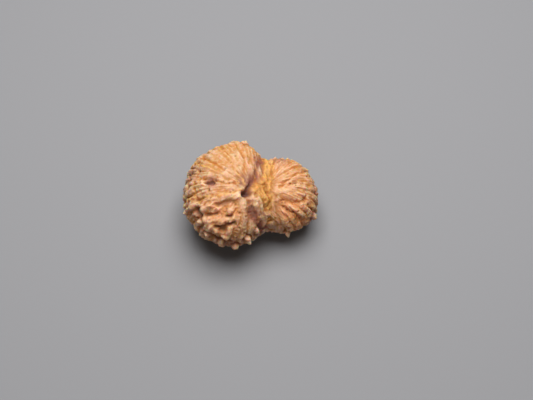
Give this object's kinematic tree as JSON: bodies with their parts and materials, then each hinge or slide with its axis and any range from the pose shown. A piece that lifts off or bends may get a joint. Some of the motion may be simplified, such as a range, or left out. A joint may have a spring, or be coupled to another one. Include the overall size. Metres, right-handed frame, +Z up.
{
  "type": "rudraksha seed",
  "caption": "Dried two-lobed rudraksha seed, ribbed and knobbed all over, with a furrow round its waist and a small hole on top. It lies on low knobs.",
  "frame": {"origin": "on the surface that the seed lies on, under the middle of the seed", "axes": "+X from the large lobe to the small one, +Y to the calmer back of the seed, +Z up out of the side with the small hole"},
  "size_m": [0.031, 0.0264, 0.0186],
  "materials": {
    "seed_shell": "dry, matte with a slight waxy sheen on the ridges"
  },
  "bodies": {
    "root": {"rudraksha_seed": "seed_shell"}
  },
  "joints": []
}
